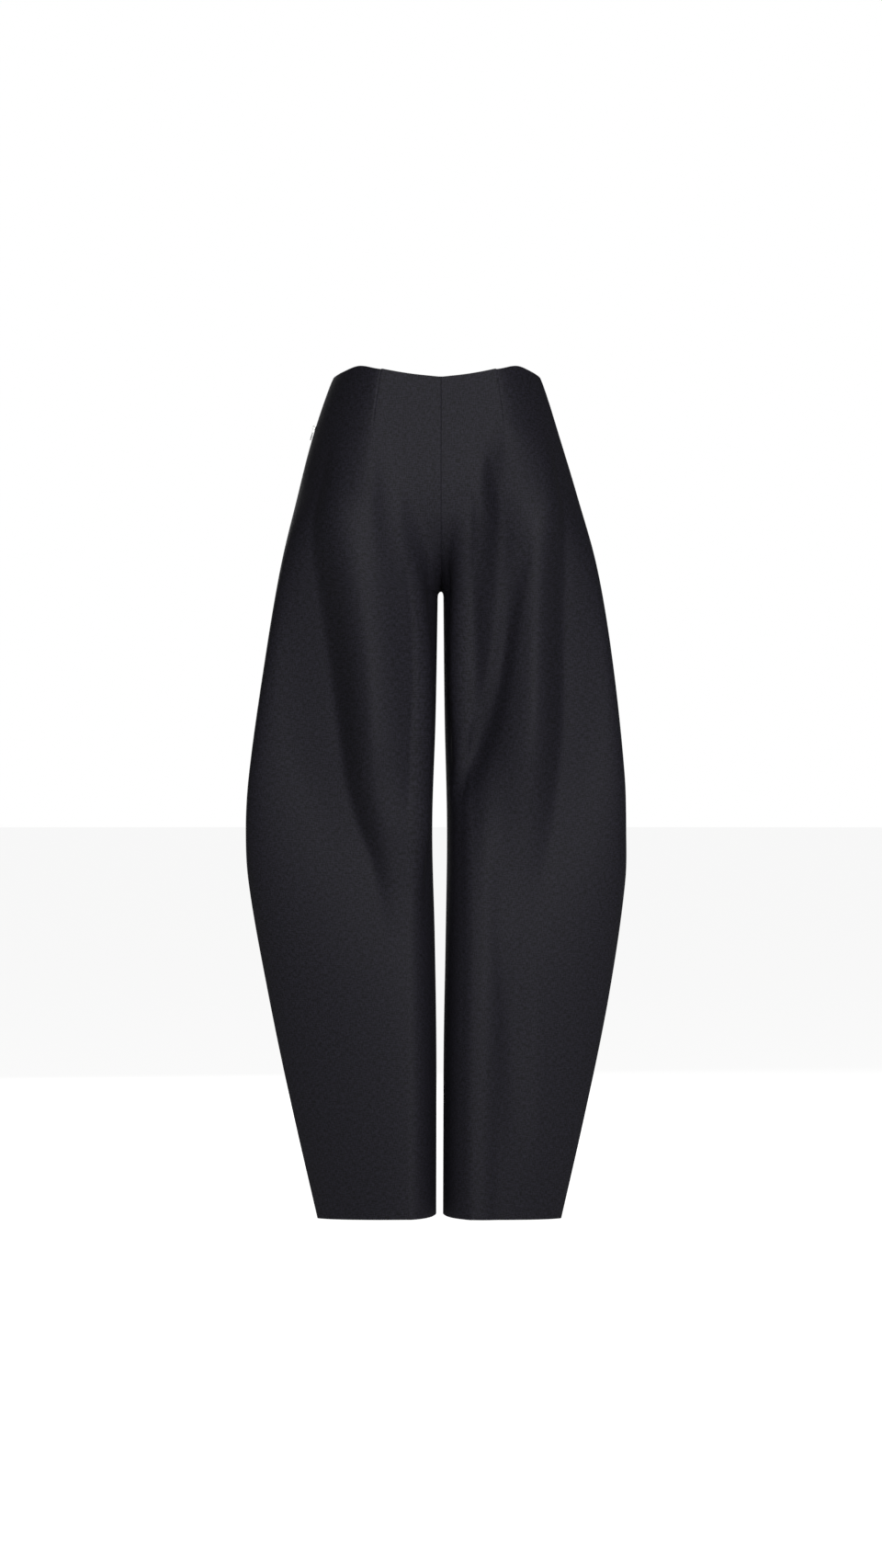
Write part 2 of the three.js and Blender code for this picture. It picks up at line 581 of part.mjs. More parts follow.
// The slider in its own place: X up along the seam, Z out from the cloth, Y across the seam
function sliderGeometry() {
  const bodyTop = -(WALL + 2 * SEAM_GAP + TAPE);
  const neck = new THREE.Shape();
  neck.moveTo(-NECK_HALF_LENGTH, bodyTop - SLIDER_BODY / 2);
  neck.lineTo(NECK_HALF_LENGTH, bodyTop - SLIDER_BODY / 2);
  neck.lineTo(NECK_HALF_LENGTH, HINGE_RISE - BRIDGE_EYE);
  neck.quadraticCurveTo(NECK_HALF_LENGTH, BRIDGE_TOP, 0, BRIDGE_TOP);
  neck.quadraticCurveTo(-NECK_HALF_LENGTH, BRIDGE_TOP, -NECK_HALF_LENGTH, HINGE_RISE - BRIDGE_EYE);
  neck.closePath();
  const eye = new THREE.Path();
  eye.absarc(0, HINGE_RISE, BRIDGE_EYE, 0, 2 * Math.PI, true);
  neck.holes.push(eye);
  const corner = SLIDER_WIDTH / 3;
  const halfLength = SLIDER_LENGTH / 2;
  const halfWidth = SLIDER_WIDTH / 2;
  const body = new THREE.Shape();
  body.moveTo(-halfLength + corner, -halfWidth);
  body.lineTo(halfLength - corner, -halfWidth * 0.8);
  body.quadraticCurveTo(halfLength, -halfWidth * 0.8, halfLength, 0);
  body.quadraticCurveTo(halfLength, halfWidth * 0.8, halfLength - corner, halfWidth * 0.8);
  body.lineTo(-halfLength + corner, halfWidth);
  body.quadraticCurveTo(-halfLength, halfWidth, -halfLength, 0);
  body.quadraticCurveTo(-halfLength, -halfWidth, -halfLength + corner, -halfWidth);
  const bodyGeometry = new THREE.ExtrudeGeometry(body, {
    depth: SLIDER_BODY, bevelEnabled: false, curveSegments: 6,
  });
  bodyGeometry.translate(0, 0, bodyTop - SLIDER_BODY);
  return toGeometry(toSolid(bodyGeometry).add(toSolid(plateAcrossSeam(neck, NECK_WIDTH))));
}

// The pull hangs from its bar, which turns in the slider's eye
function pullGeometry() {
  const head = PULL_THICK / 2;
  const half = PULL_WIDTH / 2;
  const tipHalf = half * 0.8;
  const outline = new THREE.Shape();
  outline.moveTo(-head, -half);
  outline.lineTo(WINDOW_END + RAIL, -half);
  outline.lineTo(PULL_LENGTH - tipHalf, -tipHalf);
  outline.absarc(PULL_LENGTH - tipHalf, 0, tipHalf, -Math.PI / 2, Math.PI / 2, false);
  outline.lineTo(WINDOW_END + RAIL, half);
  outline.lineTo(-head, half);
  outline.closePath();
  const window = new THREE.Path();
  window.moveTo(head, -half + RAIL);
  window.lineTo(head, half - RAIL);
  window.lineTo(WINDOW_END, half - RAIL);
  window.lineTo(WINDOW_END, -half + RAIL);
  window.closePath();
  outline.holes.push(window);
  const geometry = new THREE.ExtrudeGeometry(outline, {
    depth: PULL_THICK, bevelEnabled: false, curveSegments: 10,
  });
  geometry.translate(0, 0, -PULL_THICK / 2);
  return geometry;
}

// Materials
const wool = () => new THREE.MeshStandardMaterial({ color: 0x2b2a2f, roughness: 0.92, metalness: 0 });
const tapeCloth = () => new THREE.MeshStandardMaterial({ color: 0x1c1c1f, roughness: 0.85, metalness: 0 });
const metal = () => new THREE.MeshStandardMaterial({ color: 0xc9c9c6, roughness: 0.3, metalness: 1 });

function addMesh(parent, name, geometry, material) {
  const mesh = new THREE.Mesh(geometry, material);
  mesh.name = name;
  parent.add(mesh);
  return mesh;
}

const trousers = new THREE.Group();
const levels = rowHeights();
const pieceSpots = Array.from({ length: COLUMNS + 1 }, (_, column) => ({ column }));
for (const sideName of Object.keys(SIDES)) {
  for (const faceName of Object.keys(FACES)) {
    const wall = clothWall(sideName, faceName, pieceSpots, levels, 0, WALL);
    addMesh(trousers, `${faceName}_${sideName}`, wall, wool());
  }
}

// Zip tapes under the cloth beside the side seam
const tapeLevels = levels.filter((level) => level >= ZIP_END);
const tapeSpots = [{ fromSide: TAPE_WIDTH }, { fromSide: 0 }];
const tapeDepth = WALL + SEAM_GAP;
for (const faceName of Object.keys(FACES)) {
  const tape = clothWall('right', faceName, tapeSpots, tapeLevels, tapeDepth, tapeDepth + TAPE);
  addMesh(trousers, `zip_tape_${faceName}`, tape, tapeCloth());
}

// Slider and pull, on a group that leans with the side seam
const seamAt = (height) => -SIDES.right.reach(height);
const leanSpan = SLIDER_LENGTH / 2;
const seamRun = seamAt(SLIDER_HEIGHT + leanSpan) - seamAt(SLIDER_HEIGHT - leanSpan);
const seamLean = Math.atan2(-2 * leanSpan, seamRun);
const zipPlace = new THREE.Group();
zipPlace.position.set(seamAt(SLIDER_HEIGHT), sideDepth(SLIDER_HEIGHT), SLIDER_HEIGHT);
zipPlace.rotation.y = seamLean;
trousers.add(zipPlace);
addMesh(zipPlace, 'zip_slider', sliderGeometry(), metal());
const pull = addMesh(zipPlace, 'zip_pull', pullGeometry(), metal());
pull.position.z = HINGE_RISE;
pull.rotation.z = Math.PI;

export default trousers;
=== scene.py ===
# Barrel leg trousers in heavy black wool, hollow and filled out as on a wearer.
# Metres, +Z up, the front faces -Y and +X is the wearer's left side. Laid out as an add-on.

import math

import bpy
import numpy as np
from bpy.props import FloatProperty, FloatVectorProperty, PointerProperty
from mathutils import Matrix, Vector


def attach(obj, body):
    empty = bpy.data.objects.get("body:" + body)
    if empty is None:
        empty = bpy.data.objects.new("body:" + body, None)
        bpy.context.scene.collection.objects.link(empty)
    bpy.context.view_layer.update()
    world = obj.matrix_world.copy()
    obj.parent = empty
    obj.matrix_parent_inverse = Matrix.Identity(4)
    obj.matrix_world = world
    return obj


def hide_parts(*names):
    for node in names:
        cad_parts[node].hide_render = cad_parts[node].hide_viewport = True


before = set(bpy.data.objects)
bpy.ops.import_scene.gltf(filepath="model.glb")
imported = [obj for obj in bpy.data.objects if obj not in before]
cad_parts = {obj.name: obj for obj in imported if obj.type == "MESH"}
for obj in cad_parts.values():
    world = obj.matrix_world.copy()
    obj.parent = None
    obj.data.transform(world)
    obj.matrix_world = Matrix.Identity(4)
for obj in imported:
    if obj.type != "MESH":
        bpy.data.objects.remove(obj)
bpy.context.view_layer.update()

bl_info = {
    "name": "Barrel Leg Trousers",
    "version": (1, 0, 0),
    "blender": (4, 5, 0),
    "location": "3D View > Sidebar > Trousers",
    "description": "Builds hollow barrel leg trousers in heavy wool with a concealed side zip",
    "category": "Add Mesh",
}

# Cloth and its heights
WALL = 0.002             # thickness of the wool
CENTRE_LAP = 0.00002     # the pieces meet at the centre line with no light between them
HEM = -1.025             # hem, before its slant
CROTCH = -0.257          # point where the four cloth pieces meet
RISE_TOP = -0.165        # above it the centre seams lie flush with the front and the seat
CUT_FADE = 0.045         # the shaped waist and hem edges act on this much cloth
ARCH = 0.007             # height of the round top of the space between the legs
CROTCH_DEPTH = 0.010     # the crotch point lies this far behind the waist's middle
RISE_POWER = 1.8         # roundness of the centre seams where they run in under the body
RISE_LIMIT = 0.9999      # keeps the inner quarter of a section open where its seam lies flush
SAMPLES = 36             # steps along each quarter of a section before it is spaced evenly
PART_LENGTH = 0.12       # rough length of one quarter, for the rise and fall of the cut edges
WALL_REACH = 0.0015      # the wall's direction is taken over this much cloth to each side

# Sections down the trousers: reach of each side from the centre line, depth of the side seam, and
# for the front and the back the depth, the share of the reach at the crown and the power of the
# outer curve, where 2 is an ellipse
SECTION_COLUMNS = ("height", "right", "left", "side", "front", "crown_front", "turn_front",
                   "back", "crown_back", "turn_back")
SECTIONS = (
    (0.025, 0.1220, 0.1130, 0.002, 0.078, 0.57, 1.45, 0.086, 0.34, 2.0),
    (-0.004, 0.1365, 0.1260, 0.002, 0.082, 0.55, 1.45, 0.090, 0.34, 2.0),
    (-0.072, 0.1593, 0.1475, 0.004, 0.090, 0.52, 1.60, 0.108, 0.38, 2.05),
    (-0.140, 0.1767, 0.1680, 0.007, 0.092, 0.42, 2.00, 0.123, 0.43, 2.1),
    (-0.230, 0.1973, 0.1920, 0.008, 0.072, 0.22, 4.60, 0.124, 0.46, 2.1),
    (-0.343, 0.2164, 0.2107, 0.006, 0.052, 0.16, 6.00, 0.106, 0.48, 2.1),
    (-0.479, 0.2356, 0.2254, 0.003, 0.050, 0.16, 4.80, 0.093, 0.50, 2.0),
    (-0.547, 0.2400, 0.2277, 0.002, 0.055, 0.17, 3.40, 0.088, 0.50, 2.0),
    (-0.615, 0.2367, 0.2266, 0.002, 0.063, 0.18, 2.50, 0.086, 0.51, 2.0),
    (-0.750, 0.2130, 0.2074, 0.002, 0.072, 0.19, 1.60, 0.082, 0.51, 2.0),
    (-0.886, 0.1848, 0.1802, 0.003, 0.071, 0.21, 1.40, 0.078, 0.51, 2.0),
    (-1.035, 0.1505, 0.1465, 0.004, 0.065, 0.26, 1.38, 0.074, 0.51, 2.0),
)

# Half of the space between the legs, on the wearer's right and left of the centre line
SPACE_COLUMNS = ("height", "right", "left")
LEG_SPACE = (
    (-0.257, 0.0038, 0.0028),
    (-0.411, 0.0065, 0.0044),
    (-0.547, 0.0107, 0.0073),
    (-0.682, 0.0076, 0.0056),
    (-0.818, 0.0056, 0.0032),
    (-1.035, 0.0058, 0.0023),
)

# Rise of the waist edge and of the hem over their level lines, across a piece from its inner seam
# (0) over its crown (0.5) to its side seam (1)
CUT_COLUMNS = ("across", "waist_front", "waist_back", "hem")
EDGE_CUT = (
    (0.00, 0.0005, 0.0080, 0.0030),
    (0.25, 0.0042, 0.0100, 0.0020),
    (0.50, 0.0100, 0.0120, 0.0010),
    (0.68, 0.0156, 0.0120, -0.0005),
    (0.85, 0.0110, 0.0095, -0.0020),
    (1.00, 0.0060, 0.0060, -0.0030),
)

# Folds: the power of the bell across each, where 2 is round and 4 is flat with steep flanks, then
# a row where it bends, from top to bottom, with its distance from the centre line, its half widths
# towards the centre and the side, and its depth, which is negative on a ridge
FOLD_COLUMNS = ("height", "centre", "inner", "outer", "depth")
FOLDS = {
    "front_right": (
        ("thigh ridge", 3.0, (
            (-0.060, 0.106, 0.050, 0.044, 0.0),
            (-0.123, 0.104, 0.068, 0.050, -0.009),
            (-0.167, 0.099, 0.076, 0.058, -0.022),
            (-0.212, 0.092, 0.078, 0.065, -0.032),
            (-0.256, 0.086, 0.078, 0.065, -0.039),
            (-0.346, 0.074, 0.072, 0.064, -0.045),
            (-0.434, 0.070, 0.068, 0.056, -0.044),
            (-0.490, 0.068, 0.066, 0.050, -0.036),
            (-0.546, 0.058, 0.056, 0.044, -0.027),
            (-0.590, 0.051, 0.045, 0.034, -0.014),
            (-0.630, 0.045, 0.036, 0.032, -0.005),
            (-0.680, 0.042, 0.034, 0.030, 0.0),
        )),
        ("thigh slope", 2.0, (
            (-0.060, 0.100, 0.050, 0.080, 0.0),
            (-0.165, 0.104, 0.050, 0.086, -0.008),
            (-0.256, 0.098, 0.050, 0.096, -0.015),
            (-0.346, 0.090, 0.050, 0.106, -0.018),
            (-0.435, 0.086, 0.050, 0.106, -0.015),
            (-0.500, 0.082, 0.050, 0.090, -0.009),
            (-0.560, 0.076, 0.050, 0.070, -0.003),
            (-0.620, 0.070, 0.050, 0.060, 0.0),
        )),
        ("hip hollow", 2.0, (
            (-0.085, 0.070, 0.020, 0.018, 0.0),
            (-0.150, 0.068, 0.022, 0.018, 0.0036),
            (-0.240, 0.062, 0.022, 0.018, 0.0),
        )),
    ),
    "front_left": (
        ("thigh ridge", 3.0, (
            (-0.050, 0.104, 0.046, 0.044, 0.0),
            (-0.090, 0.106, 0.056, 0.046, -0.007),
            (-0.140, 0.102, 0.066, 0.050, -0.019),
            (-0.200, 0.101, 0.066, 0.049, -0.033),
            (-0.346, 0.101, 0.062, 0.049, -0.042),
            (-0.400, 0.101, 0.062, 0.049, -0.042),
            (-0.450, 0.097, 0.062, 0.051, -0.038),
            (-0.500, 0.092, 0.068, 0.051, -0.027),
            (-0.546, 0.086, 0.066, 0.052, -0.015),
            (-0.620, 0.074, 0.058, 0.052, -0.004),
            (-0.700, 0.060, 0.050, 0.050, 0.0),
        )),
        ("thigh slope", 2.0, (
            (-0.050, 0.116, 0.050, 0.060, 0.0),
            (-0.140, 0.120, 0.050, 0.060, -0.008),
            (-0.256, 0.122, 0.050, 0.070, -0.015),
            (-0.346, 0.120, 0.050, 0.080, -0.017),
            (-0.435, 0.116, 0.050, 0.084, -0.014),
            (-0.520, 0.108, 0.050, 0.076, -0.006),
            (-0.600, 0.100, 0.050, 0.066, 0.0),
        )),
        ("inner thigh ridge", 2.5, (
            (-0.150, 0.040, 0.030, 0.040, 0.0),
            (-0.230, 0.036, 0.034, 0.046, -0.013),
            (-0.346, 0.034, 0.032, 0.044, -0.020),
            (-0.400, 0.032, 0.030, 0.036, -0.015),
            (-0.450, 0.028, 0.028, 0.026, -0.006),
            (-0.490, 0.026, 0.026, 0.022, 0.0),
        )),
        ("shin ridge", 2.0, (
            (-0.460, 0.056, 0.030, 0.028, 0.0),
            (-0.560, 0.053, 0.030, 0.024, -0.004),
            (-0.780, 0.051, 0.028, 0.024, -0.006),
            (-0.950, 0.049, 0.028, 0.024, -0.006),
            (-1.030, 0.048, 0.028, 0.024, -0.005),
        )),
        ("inner thigh crease", 2.0, (
            (-0.195, 0.104, 0.020, 0.016, 0.0),
            (-0.260, 0.089, 0.018, 0.014, 0.004),
            (-0.330, 0.078, 0.018, 0.015, 0.007),
            (-0.380, 0.068, 0.020, 0.017, 0.008),
            (-0.435, 0.053, 0.024, 0.020, 0.008),
            (-0.490, 0.029, 0.022, 0.022, 0.005),
            (-0.520, 0.018, 0.020, 0.020, 0.0),
        )),
        ("groin fold", 2.0, (
            (-0.070, 0.044, 0.014, 0.014, 0.0),
            (-0.120, 0.050, 0.014, 0.015, 0.0025),
            (-0.165, 0.056, 0.016, 0.016, 0.0045),
            (-0.225, 0.055, 0.016, 0.016, 0.0030),
            (-0.290, 0.054, 0.014, 0.014, 0.0),
        )),
        ("shin hollow", 2.0, (
            (-0.680, 0.086, 0.022, 0.030, 0.0),
            (-0.770, 0.088, 0.024, 0.034, 0.006),
            (-0.860, 0.090, 0.026, 0.034, 0.006),
            (-0.980, 0.092, 0.026, 0.032, 0.0),
        )),
    ),
    "back_right": (
        ("seat fold", 2.0, (
            (-0.200, 0.138, 0.026, 0.026, 0.0),
            (-0.270, 0.118, 0.026, 0.026, 0.006),
            (-0.340, 0.086, 0.026, 0.026, 0.006),
            (-0.420, 0.048, 0.026, 0.026, 0.0),
        )),
        ("flank valley", 2.0, (
            (-0.280, 0.160, 0.028, 0.034, 0.0),
            (-0.430, 0.150, 0.028, 0.034, 0.009),
            (-0.560, 0.128, 0.028, 0.034, 0.007),
            (-0.680, 0.100, 0.028, 0.034, 0.0),
        )),
        ("calf fold", 2.0, (
            (-0.690, 0.052, 0.026, 0.028, 0.0),
            (-0.780, 0.072, 0.026, 0.028, 0.005),
            (-0.900, 0.104, 0.026, 0.028, 0.0),
        )),
    ),
    "back_left": (
        ("seat fold", 2.0, (
            (-0.215, 0.126, 0.024, 0.026, 0.0),
            (-0.290, 0.102, 0.024, 0.026, 0.005),
            (-0.370, 0.070, 0.024, 0.026, 0.006),
            (-0.455, 0.038, 0.024, 0.026, 0.0),
        )),
        ("flank valley", 2.0, (
            (-0.240, 0.150, 0.026, 0.030, 0.0),
            (-0.400, 0.146, 0.026, 0.030, 0.008),
            (-0.540, 0.134, 0.026, 0.030, 0.006),
            (-0.640, 0.120, 0.026, 0.030, 0.0),
        )),
        ("calf fold", 2.0, (
            (-0.630, 0.058, 0.024, 0.028, 0.0),
            (-0.750, 0.082, 0.024, 0.028, 0.005),
            (-0.850, 0.102, 0.024, 0.028, 0.004),
            (-0.930, 0.116, 0.024, 0.028, 0.0),
        )),
    ),
}
FOLD_EDGE = 0.020        # folds die out over this much cloth beside a seam
SEAM_SQUARE = 0.008      # within this much cloth the wall turns square to its side seam

# Cells of a cloth piece: the steps beside each edge, the cells across each part of a section, and
# the rows of the hips, of the rise to the crotch, of the arch under it and of the leg
EDGE_STEPS = (0.0, 0.0004, 0.0009, 0.0016, 0.0026)
INNER_CELLS = 26
OUTER_CELLS = 62
HIP_ROWS = 44
RISE_ROWS = 30
ARCH_ROWS = 9
LEG_ROWS = 186

# Seams, darts and turned edges
SEAM_ROLL = 0.0005       # depth and width of the rounded cloth edge at a seam
DART_DEPTH = 0.0008
DART_LENGTH = 0.068      # below the waist edge
DART_FADE = 0.020        # a dart runs out over this much cloth
DART_HALF = 0.0016       # half width of the groove along a dart
DART_POWER = 1.5         # how sharp the groove's bottom is
ALLOWANCE = 0.012        # width of the pressed open seam allowances inside
ALLOWANCE_STEP = 0.002   # width of the slope at an allowance's edge
TURNING = 0.035          # depth of the cloth turned in at the waist and the hems
TURNING_STEP = 0.004     # width of the slope at a turning's edge
LAYER = 0.0011           # how far a turned in layer stands proud of the inside
INNER_ROLL = 0.0012      # rounding of the inside at the waist edge and the hems
INNER_ROLL_SHARE = 0.8   # share of that rounding's depth
LEAST_WALL = 0.0005      # the shell is never thinner than this

# Concealed zip in the wearer's right side seam
ZIP_TOP = -0.004
ZIP_END = -0.180
TAPE_GAP = 0.0003        # between the wool and the tape
TAPE = 0.0008            # thickness of the tape
TAPE_WIDTH = 0.012
TAPE_ROOM = 0.004        # the turnings stop this far from the tape
TAPE_ROWS = 90
TAPE_COLUMNS = 12
TAPE_EDGE = 0.0002       # the tape's edge starts this far from the seam
TAPE_ROLL = 0.0004       # rounding of the tape's edge

# Half of the space left along the zipped seam: parted down to the slider and closed under it
PARTING_COLUMNS = ("height", "half")
SEAM_PARTING = (
    (0.030, 0.0008),
    (-0.051, 0.0013),
    (-0.061, 0.0013),
    (-0.067, 0.0),
    (-1.035, 0.0),
)

# Teeth of the zip's coil
TOOTH_PITCH = 0.0013
TOOTH_SIZE = (0.0021, 0.0006, 0.0007)    # along the section, down the seam, through the cloth
TOOTH_BEVEL = 0.00018
COIL_MARGIN = 0.006      # of bare tape above and below the coil
COIL_GRIP = 0.0006       # how far closed teeth reach over the seam's middle
CLOSED_HALF = 0.0004     # the teeth are closed where half the parting is under this

# Colours, as sRGB hex values
WOOL_LIGHT_HEX = "2D2B38"
WOOL_DARK_HEX = "121119"
TAPE_HEX = "1C1C1F"
TOOTH_HEX = "2A2A2D"
METAL_HEX = "D2D2CF"
FLOOR_HEX = "F4F4F2"
FLOOR_GLOW = 0.9         # seen by the camera alone, so that the floor runs into the white behind

# Camera, as in the photograph
CAMERA_DISTANCE = 6.0
CAMERA_HEIGHT = -0.4938
FRAME_HEIGHT = 1.9278    # what the picture's height takes in at the side seams
FLOOR_DROP = 0.052       # the floor lies this far under the hems
FLOOR_RADIUS = 60.0

# Studio light: powers in watts, directions in degrees
KEY_POWER = 72.0
KEY_AZIMUTH = 11.0
KEY_ELEVATION = 22.0
KEY_DISTANCE = 4.0
KEY_SIZE = (2.0, 2.0)
REAR_POWER = 30.0
REAR_AZIMUTH = 191.0
REAR_ELEVATION = 20.0
REAR_DISTANCE = 3.4
REAR_SIZE = (1.8, 1.8)
FILL = 0.036


def linear(hex_colour):
    """Linear red, green and blue of an sRGB hex colour."""
    channels = [int(hex_colour[start:start + 2], 16) / 255 for start in (0, 2, 4)]
    return [value / 12.92 if value <= 0.04045 else ((value + 0.055) / 1.055) ** 2.4
            for value in channels]


# Shape of the cloth, the same as the solids'

def column(table, names, name):
    """One named column of a table."""
    place = names.index(name)
    return np.array([row[place] for row in table], dtype=float)


def curve_through(places, values):
    """A smooth curve through the values of a table at their places."""
    count = np.arange(len(places))
    before = np.maximum(count - 1, 0)
    after = np.minimum(count + 1, len(places) - 1)
    slopes = (values[after] - values[before]) / (places[after] - places[before])
    order = 1.0 if places[-1] > places[0] else -1.0

    def at(where):
        where = np.asarray(where, dtype=float)
        index = np.searchsorted(order * places, order * where, side="right") - 1
        index = np.clip(index, 0, len(places) - 2)
        span = places[index + 1] - places[index]
        t = np.clip((where - places[index]) / span, 0, 1)
        t2 = t * t
        t3 = t2 * t
        return ((2 * t3 - 3 * t2 + 1) * values[index] + (t3 - 2 * t2 + t) * span * slopes[index]
                + (3 * t2 - 2 * t3) * values[index + 1] + (t3 - t2) * span * slopes[index + 1])

    return at


def table_curve(table, names, key, name):
    """The smooth curve of one column of a table over its key column."""
    return curve_through(column(table, names, key), column(table, names, name))


def section_curve(name):
    """One column of the sections as a curve over the height."""
    return table_curve(SECTIONS, SECTION_COLUMNS, "height", name)


def ease(t):
    """Smooth step from 0 to 1."""
    held = np.clip(t, 0, 1)
    return held * held * (3 - 2 * held)


SIDES = {
    name: {
        "sign": sign,
        "reach": section_curve(name),
        "space": table_curve(LEG_SPACE, SPACE_COLUMNS, "height", name),
    }
    for name, sign in (("right", -1), ("left", 1))
}
FACES = {
    name: {
        "sign": sign,
        "depth": section_curve(name),
        "crown": section_curve("crown_" + name),
        "turn": section_curve("turn_" + name),
        "waist": table_curve(EDGE_CUT, CUT_COLUMNS, "across", "waist_" + name),
    }
    for name, sign in (("front", -1), ("back", 1))
}
side_depth = section_curve("side")
hem_cut = table_curve(EDGE_CUT, CUT_COLUMNS, "across", "hem")


def parting(level):
    """Half of the space left at the zipped side seam."""
    heights = column(SEAM_PARTING, PARTING_COLUMNS, "height")
    halves = column(SEAM_PARTING, PARTING_COLUMNS, "half")
    return np.interp(-level, -heights, halves)


class HalfSections:
    """Half sections of one side and face at many heights, from the inner edge to the side seam."""

    def __init__(self, side, face, height):
        above = height >= CROTCH
        share = np.clip((height - CROTCH) / (RISE_TOP - CROTCH), 0, 1)
        out = np.minimum((1 - (1 - share) ** RISE_POWER) ** (1 / RISE_POWER), RISE_LIMIT)
        out = np.where(above, out, 0.0)
        opened = np.clip((CROTCH - height) / ARCH, 0, 1)
        inner = side["space"](height) * np.sqrt(1 - (1 - opened) ** 2)
        inner = np.where(above, -CENTRE_LAP, inner)
        seam = side_depth(height)
        settle = ease((CROTCH - height) / (CROTCH - HEM))
        middle = np.where(above, CROTCH_DEPTH, CROTCH_DEPTH + (seam - CROTCH_DEPTH) * settle)
        reach = side["reach"](height)
        depth = face["sign"] * face["depth"](height)
        crown = reach * face["crown"](height)
        start = np.arcsin(out)
        half = (crown - inner) / np.cos(start)
        step = np.linspace(0, 1, SAMPLES + 1)
        angle = start[:, None] + (math.pi / 2 - start[:, None]) * step
        inner_x = crown[:, None] - half[:, None] * np.cos(angle)
        inner_y = middle[:, None] + (depth - middle)[:, None] * np.sin(angle)
        power = (2 / face["turn"](height))[:, None]
        turn = step[1:] * math.pi / 2
        across = np.sin(turn) ** power
        forward = np.maximum(np.cos(turn), 0) ** power
        outer_x = crown[:, None] + (reach - crown)[:, None] * across
        outer_y = seam[:, None] + (depth - seam)[:, None] * forward
        self.x = np.concatenate([inner_x, outer_x], axis=1)
        self.y = np.concatenate([inner_y, outer_y], axis=1)
        steps = np.hypot(np.diff(self.x, axis=1), np.diff(self.y, axis=1))
        zero = np.zeros((len(height), 1))
        self.lengths = np.concatenate([zero, np.cumsum(steps, axis=1)], axis=1)
        self.to_crown = self.lengths[:, SAMPLES]
        self.total = self.lengths[:, -1]
        self.rows = np.arange(len(height))

    def _between(self, keys, wanted):
        index = np.clip((keys < wanted[:, None]).sum(axis=1) - 1, 0, keys.shape[1] - 2)
        low = keys[self.rows, index]
        high = keys[self.rows, index + 1]
        return index, np.clip((wanted - low) / (high - low), 0, 1)

    def point(self, length):
        """The point at a length along each section."""
        index, t = self._between(self.lengths, np.clip(length, 0, self.total))
        x = self.x[self.rows, index] * (1 - t) + self.x[self.rows, index + 1] * t
        y = self.y[self.rows, index] * (1 - t) + self.y[self.rows, index + 1] * t
        return x, y

    def length_at(self, distance):
        """The length at which each section lies a distance from the centre line."""
        index, t = self._between(self.x, distance)
        low = self.lengths[self.rows, index]
        return low + (self.lengths[self.rows, index + 1] - low) * t


def fold_depth(piece, sections, length, height):
    """How far the folds push each point of a piece in."""
    total = np.zeros_like(length)
    edge = ease(length / FOLD_EDGE) * ease((sections.total - length) / FOLD_EDGE)
    for _, power, rows in FOLDS[piece]:
        heights = column(rows, FOLD_COLUMNS, "height")
        held = np.clip(height, heights[-1], heights[0])
        values = {name: curve_through(heights, column(rows, FOLD_COLUMNS, name))(held)
                  for name in FOLD_COLUMNS[1:]}
        off = length - sections.length_at(values["centre"])
        width = np.where(off < 0, values["inner"], values["outer"])
        bell = (1 - np.minimum(np.abs(off) / width, 1) ** power) ** 2
        total += values["depth"] * bell * edge
    return total


class ClothPoints:
    """Points of one cloth piece on a grid of levels and columns. The columns give for each its
    part of the section, 0 inner and 1 outer, its fraction of that part and a fixed offset."""

    def __init__(self, side_name, face_name, levels, columns):
        side = SIDES[side_name]
        face = FACES[face_name]
        self.shape = (len(levels), len(columns[0]))
        self.level = np.repeat(levels, len(columns[0]))
        part, fraction, offset = (np.tile(values, len(levels)) for values in columns)
        share = np.clip(0.5 * (part + fraction + offset / PART_LENGTH), 0, 1)
        waist_part = ease(1 + self.level / CUT_FADE)
        hem_part = ease(1 - (self.level - HEM) / CUT_FADE)
        self.height = (self.level + face["waist"](share) * waist_part
                       + hem_cut(share) * hem_part)
        sections = HalfSections(side, face, self.height)
        half = parting(self.level) if side_name == "right" else 0.0
        end = sections.total - half
        low = np.where(part == 0, 0.0, sections.to_crown)
        high = np.where(part == 0, sections.to_crown, end)
        last = EDGE_STEPS[-1]
        length = low + last + (high - low - 2 * last) * fraction + offset
        before = sections.point(length - WALL_REACH)
        after = sections.point(length + WALL_REACH)
        along = np.array(after) - np.array(before)
        run = np.hypot(*along)
        square = ease(1 - (end - length) / SEAM_SQUARE)
        outward = -face["sign"] * along[1] / run * (1 - square) + square
        forward = face["sign"] * along[0] / run * (1 - square)
        size = np.hypot(outward, forward)
        self.out = (outward / size, forward / size)
        self.place = sections.point(length)
        self.sink = fold_depth(f"{face_name}_{side_name}", sections, length, self.height)
        self.length = length
        self.from_side = end - length
        self.from_crown = np.abs(length - sections.to_crown)
        self.from_edge = np.minimum(-self.level, self.level - HEM)
        self.sign = side["sign"]
        self.mirrored = side["sign"] * face["sign"] > 0

    def at_depth(self, depth):
        """The points at a depth under the outer surface, folds left out. The centre seams stay
        closed on the centre line."""
        x = self.place[0] - self.out[0] * depth
        x = self.sign * np.where((self.length <= 0) & (self.level > CROTCH), -CENTRE_LAP, x)
        y = self.place[1] - self.out[1] * depth
        return np.stack([x, y, self.height], axis=1)

    def plan(self):
        """Where each point lies on the flat cloth, in metres."""
        return np.stack([self.length * self.sign, self.level], axis=1)


def rounded_edge(distance, radius):
    """How far a rounded cloth edge falls back at a distance from it."""
    inside = np.clip(1 - distance / radius, 0, 1)
    return radius * (1 - np.sqrt(1 - inside ** 2))


